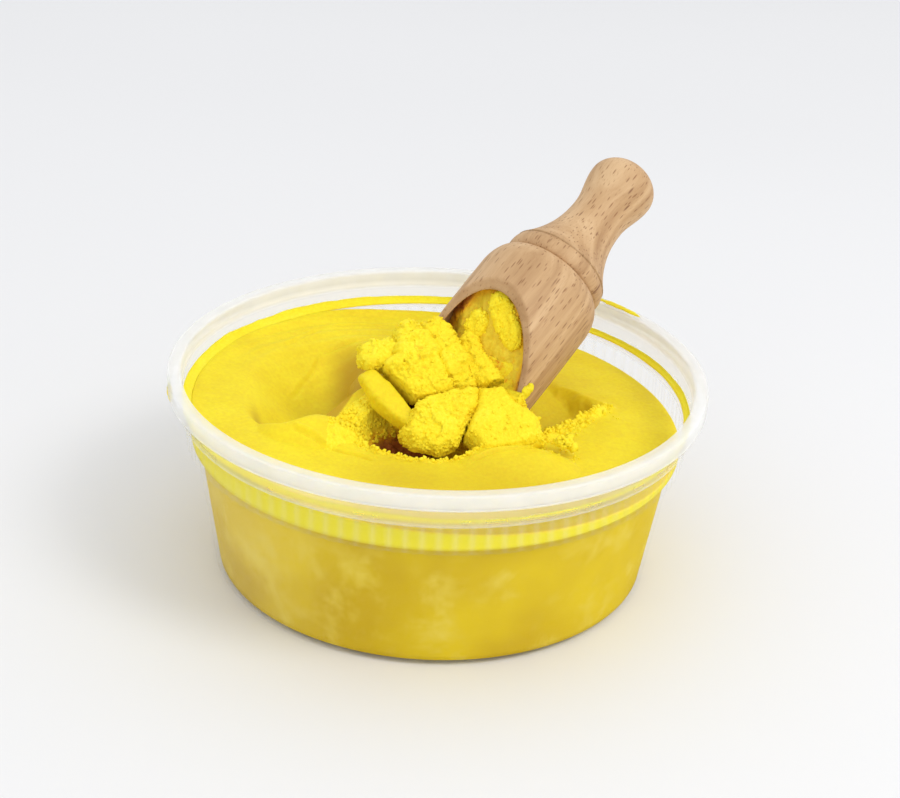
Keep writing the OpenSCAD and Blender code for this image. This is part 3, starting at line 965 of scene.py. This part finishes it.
def make_crumbs():
    rng = np.random.default_rng(12)
    hollow = []
    for _ in range(1000):
        angle = math.radians(rng.uniform(165, 352))
        reach = rng.normal(0.97, 0.08)
        x = HOLE_AT[0] + HOLE_SIZE[0] * reach * math.cos(angle)
        y = HOLE_AT[1] + HOLE_SIZE[1] * reach * math.sin(angle)
        hollow.append((x, y, 0.1 + 0.45 * rng.uniform() ** 4))
    for _ in range(900):
        x, y = rng.uniform(-23, -8), rng.uniform(-16, -4)
        hollow.append((x, y, 0.1 + 0.35 * rng.uniform() ** 2))
    cut = []
    for _ in range(800):
        t = rng.uniform(0.0, 1.0)
        x, y = TRENCH_FROM + (TRENCH_TO - TRENCH_FROM) * t
        spread = rng.normal(0, 0.5 + 0.9 * (1 + math.sin(17 * t + 3 * math.sin(7 * t))))
        cut.append((x + 0.7 * spread, y - 0.6 * spread, 0.1 + 0.5 * rng.uniform() ** 3))
    for _ in range(40):
        cut.append((rng.uniform(19, 31), rng.uniform(-18, -8), rng.uniform(0.12, 0.35)))
    result = {}
    for name, row in (("crumbs_hollow", hollow), ("crumbs_cut", cut)):
        x, y, radius = np.array(row).T
        z = clay_height(x, y) + 0.2 * radius
        keep = scoop_floor(x, y) > 60
        if name == "crumbs_hollow":
            keep &= (granular_mask(x, y) > 0.3) & (hole_reach(x, y) > 0.84)
        spots = np.stack([x, y, z, radius], -1)[keep]
        result[name] = crumb_mesh(name + "_look", spots, 5)
    ball = [(27.6, -15.0, 36.2, 1.75), (29.6, -15.6, 35.4, 0.9), (26.0, -13.6, 35.6, 1.0),
            (28.6, -13.9, 36.9, 0.8)]
    for _ in range(160):
        way = rng.normal(size=3)
        way = way / np.linalg.norm(way) * (1.6, 1.4, 1.1)
        ball.append((27.7 + way[0], -14.9 + way[1], 36.2 + max(way[2], -0.9),
                     rng.uniform(0.15, 0.45)))
    result["clay_ball"] = crumb_mesh("clay_ball_look", ball, 9)
    return result


# ---- residue and smears ----

def make_residue():
    """Clay left on the ledge. It climbs the wall, most of all on the left."""
    theta = np.arange(900) / 900 * TAU
    circle = polar(55, theta, 0)
    left = smooth(0.75, -0.9, np.cos(theta))
    ledge = BAND_TOP + LEDGE_DROP
    inner = BAND_R - WALL + 0.25 - 0.4 * left + 0.12 * fbm(circle, 6.0, 3, 31)
    climb = 1.0 + 0.8 * left + (0.3 + 0.3 * left) * fbm(circle, 8.0, 4, 37)
    wall = NECK_R - WALL + (NECK_TOP_R - NECK_R) * climb / (TUB_H - 1 - ledge)
    profile = [(inner + 0.05, 0.02), (inner, 0.22), (inner + 0.25, 0.42),
               (0.5 * (inner + wall), 0.5), (wall - 0.42, 0.72), (wall - 0.2, 0.6 * climb),
               (wall - 0.1, climb), (wall + 0.02, climb), (wall + 0.02, 0.6), (wall - 0.3, 0.02)]
    rings = [polar(r, theta, ledge + up) for r, up in profile]
    return capped_rings("ledge_residue_look", np.array(rings)[::-1], [clay_residue_lit], closed=True)


def smear(name, surface, length, width, thick, seed):
    """Thin patch of clay. surface(u, w, t) gives the point u along, w across and t proud."""
    u = np.linspace(-1, 1, 90)[:, None]
    w = np.linspace(-1, 1, 22)[None]
    uneven = 1 + 0.4 * fbm(np.stack([u * 3, 0 * u, 0 * u], -1), 0.5, 3, seed)
    span = np.sqrt(np.maximum(1 - u ** 2, 0.0)) * uneven
    across = w * span * width / 2
    along = u * length / 2 + 0 * w
    proud = thick * np.clip(1 - w ** 2, 0, 1) ** 0.5 * np.clip(1 - u ** 6, 0, 1)
    proud = proud * (1 + 0.5 * fbm(np.stack([along, across, 0 * along], -1), 1.2, 3, seed + 5))
    top, bottom = surface(along, across, proud + 0.02), surface(along, across, 0 * proud)
    return grid_solid(name, top, bottom, [clay_smooth])


def make_smears():
    left, back = math.radians(191), math.radians(43)

    def under_rim(u, w, t):
        angle = left - u / RIM_R
        return polar(RIM_R - 0.45 + w, angle, SKIRT_Z - 0.06 - 2.2 * t)

    def on_rim(u, w, t):
        angle = back + u / RIM_R
        return polar(RIM_R - 1.6 + w, angle, TUB_H + 0.04 + t)

    def on_scoop(u, w, t):
        angle = math.radians(-96.5) + w / BOWL_R
        r = bowl_radius(-29.0 + u) + 0.06 + t
        return to_world(polar(r, angle, -29.4 + u))

    return {
        "rim_smear_left": smear("rim_smear_left_look", under_rim, 9.0, 1.0, 0.5, 41),
        "rim_smear_back": smear("rim_smear_back_look", on_rim, 16.0, 1.7, 0.3, 43),
        "scoop_smear": smear("scoop_smear_look", on_scoop, 5.0, 2.6, 0.75, 47),
    }


# ---- scoop ----

def bowl_radius(z):
    return BOWL_R - (BOWL_R - BOWL_END_R) * ((z - BULGE_Z) / (-BOWL_L - BULGE_Z)) ** 2


def mouth_z(x):
    return MOUTH_APEX - (x + BOWL_R) * math.tan(MOUTH_SLANT)


def scoop_outline():
    """Turned outline from the end of the handle down to where the mouth may start."""
    rows = [(KNOB_R * math.cos(a), KNOB_Z + (HANDLE_L - KNOB_Z) * math.sin(a))
            for a in np.linspace(math.radians(89), 0, 24)]
    for z in np.linspace(KNOB_Z, WAIST_Z, 20)[1:]:
        t = (z - WAIST_Z) / (KNOB_Z - WAIST_Z)
        rows.append((WAIST_R + (KNOB_R - WAIST_R) * (0.5 - 0.5 * math.cos(math.pi * t)), z))
    for z in np.linspace(WAIST_Z, COLLAR_L, 26)[1:]:
        t = 1 - (z - COLLAR_L) / (WAIST_Z - COLLAR_L)
        rows.append((WAIST_R + (COLLAR_R - 0.4 - WAIST_R) * t ** 2.2, z))
    for top_r, low_z, start, stop, steps in ((COLLAR_R, COLLAR_L / 2, 165, 8, 20),
                                             (BOWL_R, -SHOULDER_L, 4, 90, 16)):
        rows += [(GROOVE_R + (top_r - GROOVE_R) * math.sin(a), low_z * (1 - math.cos(a)))
                 for a in np.linspace(math.radians(start), math.radians(stop), steps)]
    return rows


# Painted shade in the bore: how dark it is drawn, where 1 is the darkness of the cut edge of the
# mouth.
BORE_SHADE = 0.75


def make_scoop():
    columns = 288
    phi = np.arange(columns) / columns * TAU
    # Each ring's darkness: 1 on the cut edge of the mouth, and BORE_SHADE as painted shade in the
    # bore.
    rings, cut = [], []

    def add_ring(r, z, cut_and_bore_shade):
        rings.append(polar(r, phi, z))
        cut.append(cut_and_bore_shade)

    for r, z in scoop_outline():
        add_ring(r, z, 0.0)
    edge = np.maximum(mouth_z(BOWL_R * np.cos(phi)), -BOWL_L)
    for _ in range(12):
        edge = np.maximum(mouth_z(bowl_radius(edge) * np.cos(phi)), -BOWL_L)
    for t in np.linspace(0, 1, 60)[1:]:
        z = mix(-SHOULDER_L, edge + 0.22, t)
        add_ring(bowl_radius(np.minimum(z, BULGE_Z + 3.6)), z, 0.0)
    inner = np.maximum(mouth_z(BORE_R * np.cos(phi)), -BOWL_L)
    for t in (0.22, 0.45, 0.7, 0.88):
        add_ring(mix(bowl_radius(edge), BORE_R, t), mix(edge, inner, t), 1.0)
    for t in np.linspace(0, 1, 30):
        add_ring(BORE_R, mix(inner + 0.25, BORE_TOP, t), BORE_SHADE)
    for r in np.linspace(BORE_R, 0.05, 6)[1:]:
        add_ring(r, BORE_TOP, BORE_SHADE)
    rings = np.array(rings)
    obj = capped_rings("scoop_look", to_world(rings), [beech_material()])
    local = rings.reshape(-1, 3)
    local = np.concatenate([local, local[:1], local[-1:]])
    set_attribute(obj, "along_grain", local.ravel(), "FLOAT_VECTOR")
    set_attribute(obj, "cut_face_and_bore_shade", np.concatenate([np.repeat(cut, columns), [0.0, BORE_SHADE]]))
    return obj


def fill_solid(name, front, back, low_x, material, seed):
    """Clay inside the bore between the heights front(x, y) and back(x), from low_x across to
    the far side, with painted shade in specks between its grains, and most of all in the gap along
    the wood."""
    r = BORE_R - 0.06
    y = np.sin(np.linspace(-math.pi / 2, math.pi / 2, 110))[None] * r * 0.9995
    half = np.sqrt(r * r - y * y)
    t = np.linspace(0, 1, 110)[:, None]
    x = mix(np.maximum(-half, low_x), half, t)
    y = y + 0 * x
    ends = [np.stack([x, y, z], -1) for z in (back(x), front(x, y))]
    obj = grid_solid(name, to_world(ends[0]), to_world(ends[1]), [material])
    local = np.concatenate([end.reshape(-1, 3) for end in ends])
    # Painted shade: the shadowed gap between the clay and the wood, and specks in the creases
    # between grains.
    gap_shadow = smooth(BORE_R - 3.0, BORE_R - 0.6, np.hypot(local[:, 0], local[:, 1]))
    speck_shade = smooth(0.62, 0.3, grains(local, 1.3, seed))
    speck_shade = speck_shade + smooth(0.5, 0.2, grains(local, 0.7, seed + 1))
    uneven = smooth(-0.25, 0.35, value_noise(local, 3.5, seed + 2))
    set_pit_shading(obj, 0.45 * speck_shade * mix(0.3, 1.0, uneven) + gap_shadow * mix(0.75, 1.05, uneven))
    return obj


def make_contents():
    inset = (PACK_INSET - PACK_RELIEF) / math.cos(MOUTH_SLANT)

    def pack_front(x, y):
        p = flat(x, y)
        ragged = 5.0 * smooth(5, 11.5, y + 0.35 * x + 2.5 * fbm(p, 3, 3, 4))
        rough = 0.9 * grains(p, 1.5, 1) + 0.5 * grains(p, 0.8, 2)
        return mouth_z(x) + inset + 1.6 * fbm(p, 5, 3, 3) + ragged - rough

    def pack_back(x):
        return 0 * x + BORE_TOP - 0.05

    def load_front(x, y):
        p = np.stack([x, y, 0.4 * mouth_z(x)], -1)
        ragged = 2.2 * fbm(p, 5, 2, 8) + 1.5 * grains(p, 1.9, 13) + 0.8 * grains(p, 0.9, 14)
        shore = smooth(-3, 1.5, x)
        return mouth_z(x) + 0.3 + 3.4 * (1 - shore) - ragged * 0.8 + 2.4

    def load_back(x):
        return np.minimum(mouth_z(x) + inset - PACK_RELIEF, BORE_TOP - 0.4)

    pack = fill_solid("scoop_clay_pack_look", pack_front, pack_back, NOWHERE, clay_packed_shaded, 1)
    load = fill_solid("scoop_clay_load_look", load_front, load_back, -3.0, clay_grainy, 2)
    flake = mouth_lump("scoop_flake_look", at=(8.4, -3.4), half=(7.0, 2.9), depth=2.4,
                       thick=3.2, turn=-42, seed=101)
    knob = mouth_lump("scoop_knob_look", at=(11.4, 3.6), half=(3.1, 2.7), depth=2.6,
                      thick=3.4, turn=20, seed=107)
    return {"scoop_clay_pack": pack, "scoop_clay_load": load, "scoop_flake": flake,
            "scoop_knob": knob}


def mouth_lump(name, at, half, depth, thick, turn, seed):
    """Broken piece lying in the mouth, at (towards the tongue, left), half its sizes."""
    angle = math.radians(turn)
    around = np.arange(14) / 14 * TAU
    wide = half[0] * np.sign(np.cos(around)) * np.abs(np.cos(around)) ** 0.7
    high = half[1] * np.sign(np.sin(around)) * np.abs(np.sin(around)) ** 0.7
    c, s = math.cos(MOUTH_SLANT), math.sin(MOUTH_SLANT)
    rings = []
    for level, grow in ((-0.5, 0.8), (-0.3, 1.0), (0.3, 1.0), (0.5, 0.8)):
        a = wide * grow * math.cos(angle) - high * grow * math.sin(angle) + at[0]
        b = wide * grow * math.sin(angle) + high * grow * math.cos(angle) + at[1]
        inward = depth + level * thick
        local = [-BOWL_R + a * c + inward * s, b, MOUTH_APEX - a * s + inward * c]
        rings.append(to_world(np.stack(local, -1)))
    points, normals, faces = fine_skin(name, np.array(rings))
    torn, pit_shading = torn_relief(points, 0.5, seed)
    points = points + normals * (0.5 * fbm(points, 4.0, 2, seed) + torn)[:, None]

    def in_bore(piece):
        local = to_scoop(piece)
        reach = np.hypot(local[:, 0], local[:, 1])
        local[:, :2] *= np.minimum(1, (BORE_R - 0.1) / np.maximum(reach, 1))[:, None]
        return to_world(local)

    return crumbled(name, in_bore(points), faces, pit_shading, np.ones(len(points)), 260, clay_grainy,
                    seed, in_bore)


# ---- camera, light and floor ----

def make_camera():
    """Looks down on the tub from the front at 25.9 degrees, with a slight roll."""
    elevation, distance, aim_z, roll = 0.4516, 399.41, 37.0914, -0.0485
    back = Vector((0, -math.cos(elevation), math.sin(elevation)))
    up = Vector((0, math.sin(elevation), math.cos(elevation)))
    right = Vector((1, 0, 0))
    c, s = math.cos(roll), math.sin(roll)
    across, over = right * c - up * s, right * s + up * c
    turn = Matrix((across, over, back)).transposed()
    data = bpy.data.cameras.new("camera")
    data.lens = 72.525
    data.sensor_width = 36.0
    data.sensor_fit = "HORIZONTAL"
    data.shift_x = 0.01783
    data.shift_y = 0.00318
    data.clip_start = 0.01
    camera = bpy.data.objects.new("camera", data)
    at = (Vector((-0.64, 0, aim_z)) + back * distance) * MM
    camera.matrix_world = Matrix.Translation(at) @ turn.to_4x4()
    bpy.context.scene.collection.objects.link(camera)
    bpy.context.scene.camera = camera


def area_light(name, at, aim, size, power, colour=(1, 1, 1)):
    data = bpy.data.lights.new(name, "AREA")
    data.shape = "DISK"
    data.size = size
    data.energy = power
    data.color = colour
    light = bpy.data.objects.new(name, data)
    light.location = at
    light.rotation_euler = (Vector(aim) - Vector(at)).to_track_quat("-Z", "Y").to_euler()
    bpy.context.scene.collection.objects.link(light)


def make_studio():
    world = bpy.data.worlds.new("studio")
    world.use_nodes = True
    background = world.node_tree.nodes["Background"]
    background.inputs["Color"].default_value = (0.97, 0.98, 1.0, 1)
    background.inputs["Strength"].default_value = 0.94
    bpy.context.scene.world = world
    aim = (0, 0, 0.03)
    area_light("key", (0.54, -0.36, 0.76), aim, size=0.36, power=2.9, colour=(1.0, 0.985, 0.96))
    area_light("fill", (-0.3, -0.8, 0.5), aim, size=0.8, power=0.5)
    floor_r, floor_z, corners = 6000, -0.02, 64
    ring = polar(floor_r, np.linspace(0, TAU, corners, endpoint=False), floor_z)
    floor = new_object("studio_floor", ring, [tuple(range(corners))], [floor_material()])
    bpy.context.scene.view_settings.view_transform = "Standard"


# ---- assembly ----

def place(piece, node, body):
    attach(piece, body)
    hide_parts(node)


make_camera()
make_studio()
place(make_tub(), "tub", "filled_tub")
place(make_clay(), "clay_mass", "filled_tub")
place(make_residue(), "ledge_residue", "filled_tub")
place(make_scoop(), "scoop", "loaded_scoop")
BODY_OF = {node: body for body, nodes in frame["record"]["behaviour"]["bodies"].items()
           for node in nodes}
for pieces in (make_heap(), make_crumbs(), make_smears(), make_contents()):
    for node, piece in pieces.items():
        place(piece, node, BODY_OF[node])
